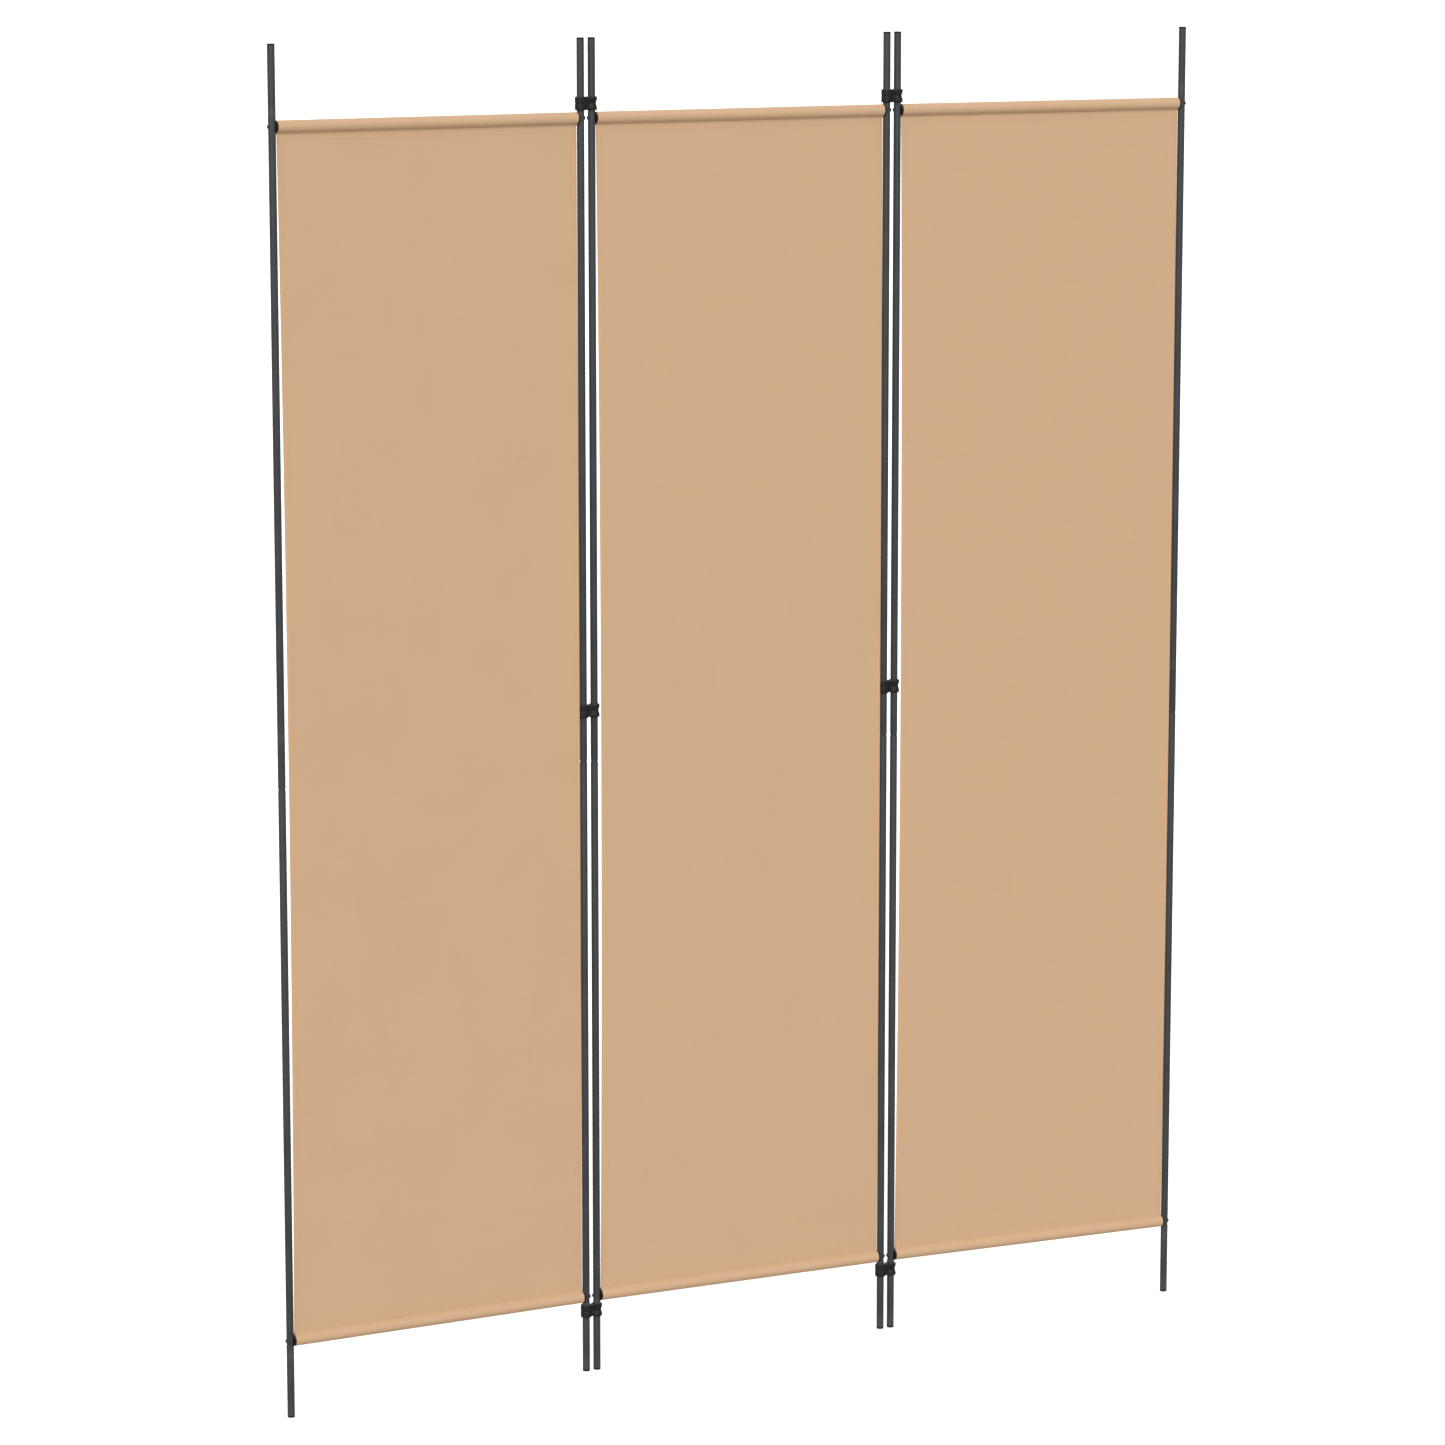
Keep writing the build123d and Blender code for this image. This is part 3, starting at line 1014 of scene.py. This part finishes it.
def stitch_row(start, stop, lift):
    """A row of stitches on the flat cloth, from one (u, s) point to another."""
    run = Vector(stop) - Vector(start)
    count = int(run.length / stitch_pitch)
    deselect_all()
    bpy.ops.mesh.primitive_ico_sphere_add(subdivisions=1, radius=0.5)
    row = bpy.context.object
    row.scale = stitch_size
    bpy.ops.object.transform_apply(scale=True)
    step = (run.length / count, 0, 0)
    modify(
        row, "ARRAY", count=count, use_relative_offset=False,
        use_constant_offset=True, constant_offset_displace=step,
    )
    turn = Matrix.Rotation(math.atan2(run.y, run.x), 4, "Z")
    first = at(x=step[0] / 2)
    return settle(row, at(x=start[0], y=start[1], z=lift) @ turn @ first)


stitch_rows = []
hem_row = fold_start - hem + 1.8 * mm
for lift in (front_lift, back_lift):
    for side in (-1, 1):
        u = side * hem_row
        stitch_rows.append(stitch_row((u, -lap_edge), (u, lap_edge), lift))
        for inset in (1.6 * mm, lap - 1.8 * mm):
            s = side * (sheet_half - inset)
            stitch_rows.append(stitch_row((-fold_start, s), (fold_start, s), lift))
stitches = joined("stitches", stitch_rows)
for vertex in stitches.data.vertices:
    u, s, lift = vertex.co
    if lift < 0 and abs(s) > lap_edge:
        lift += layer_gap - behind_seam(u)
    vertex.co = cloth_point(u, s, lift)
choose(stitches)
bpy.ops.object.shade_smooth()
print("stitches", triangles(stitches), "triangles")

# %% [markdown]
# ## Cloth finish
# Under a glass the cloth is plain weave: threads of a fraction of a millimetre, some thicker
# than others, with painted shade in the gaps between them. From a step away it is an even
# sand colour, with a touch of warmer painted shade along the hems, where it lies double and
# less light comes through. The weave gives colour, height and roughness; a faint sheen stands
# for its loose fibre ends.

# %% Woven cloth
thread_pitch = 0.55 * mm
sand = (0.655, 0.43, 0.262, 1)
white = (1, 1, 1, 1)


def shaded(colour, share):
    """A colour made darker or lighter."""
    return tuple(share * part for part in colour[:3]) + (1,)


woven, tree, shader = finish_with("sand_plain_weave", 0.88, 0.12)
shader["Sheen Weight"].default_value = 0.05
shader["Sheen Roughness"].default_value = 0.5
flat_place = put(tree, "ShaderNodeUVMap", uv_map="flat").outputs["UV"]
weave = use_group(tree, plain_weave, flat_map=flat_place, thread_pitch=thread_pitch)
thread_tone = mix_colours(tree, weave["Warp"], shaded(sand, 0.985), shaded(sand, 1.015))
thick = fade(tree, weave["Slub"], 0.3, 0.75)
slub_tone = mix_colours(tree, thick, shaded(sand, 0.95), shaded(sand, 1.05))
blend_tone = mix_colours(tree, 0.5, thread_tone, slub_tone)
# Painted shade: the gaps between the threads are darkened to 0.82 of the sand colour.
gap_shade_mask = fade(tree, weave["Height"], 0.05, 0.5)
woven_tone_with_gap_shade = mix_colours(tree, gap_shade_mask, shaded(sand, 0.82), blend_tone)

# %% Clouds, painted hem shade and relief
drift = use_group(tree, fine_grain, grain_size=3 * mm, patch_size=120 * mm)
clouds = fade(tree, drift["Tone"], 0.3, 0.7)
cloudy = mix_colours(tree, clouds, (0.985, 0.983, 0.98, 1), (1.005, 1.005, 1.005, 1))
even_tone = mix_colours(tree, 1.0, woven_tone_with_gap_shade, cloudy, "MULTIPLY")
across = calc(tree, "ABSOLUTE", put(tree, "ShaderNodeSeparateXYZ", {0: flat_place}).outputs["X"])
hem_line = fold_start - hem
doubled = fade(tree, across, hem_line - 0.4 * mm, hem_line + 0.4 * mm)
# Painted shade: along the hems, where the cloth lies double, it is made a touch warmer for the light
# that comes through it less.
hem_painted_shade = mix_colours(tree, doubled, white, (1.03, 1.0, 0.97, 1))
tree.links.new(mix_colours(tree, 1.0, even_tone, hem_painted_shade, "MULTIPLY"), shader["Base Color"])
rough = fade(tree, weave["Height"], 0.0, 1.0, 0.95, 0.82)
tree.links.new(rough, shader["Roughness"])
emboss(tree, shader, weave["Height"], 0.1 * mm, 0.5)
painted(cloth, woven)

# %% Sewing thread
thread, tree, shader = finish_with("sand_sewing_thread", 0.7, 0.3)
shader["Sheen Weight"].default_value = 0.1
twist = use_group(tree, fine_grain, grain_size=0.25 * mm, patch_size=8 * mm)
lit = fade(tree, twist["Tone"], 0.3, 0.7)
thread_colour = mix_colours(tree, lit, shaded(sand, 0.86), shaded(sand, 1.02))
tree.links.new(thread_colour, shader["Base Color"])
tree.links.new(fade(tree, twist["Height"], 0.3, 0.7, 0.6, 0.8), shader["Roughness"])
emboss(tree, shader, twist["Height"], 0.05 * mm, 0.5)
painted(stitches, thread)
print("finishes", woven.name, thread.name)

# %% Fit the cloths out
for panel in panels:
    body = f"panel_{panel}"
    piece = fit_out(cloth, f"{panel}_panel_cloth", body, panel_places[panel])
    sewing = copy_of(stitches, panel_places[panel])
    sewing.name = sewing.data.name = f"finished_{panel}_panel_stitches"
    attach(sewing, body)
bpy.data.objects.remove(cloth)
bpy.data.objects.remove(stitches)
print("cloths fitted out:", len(panels))
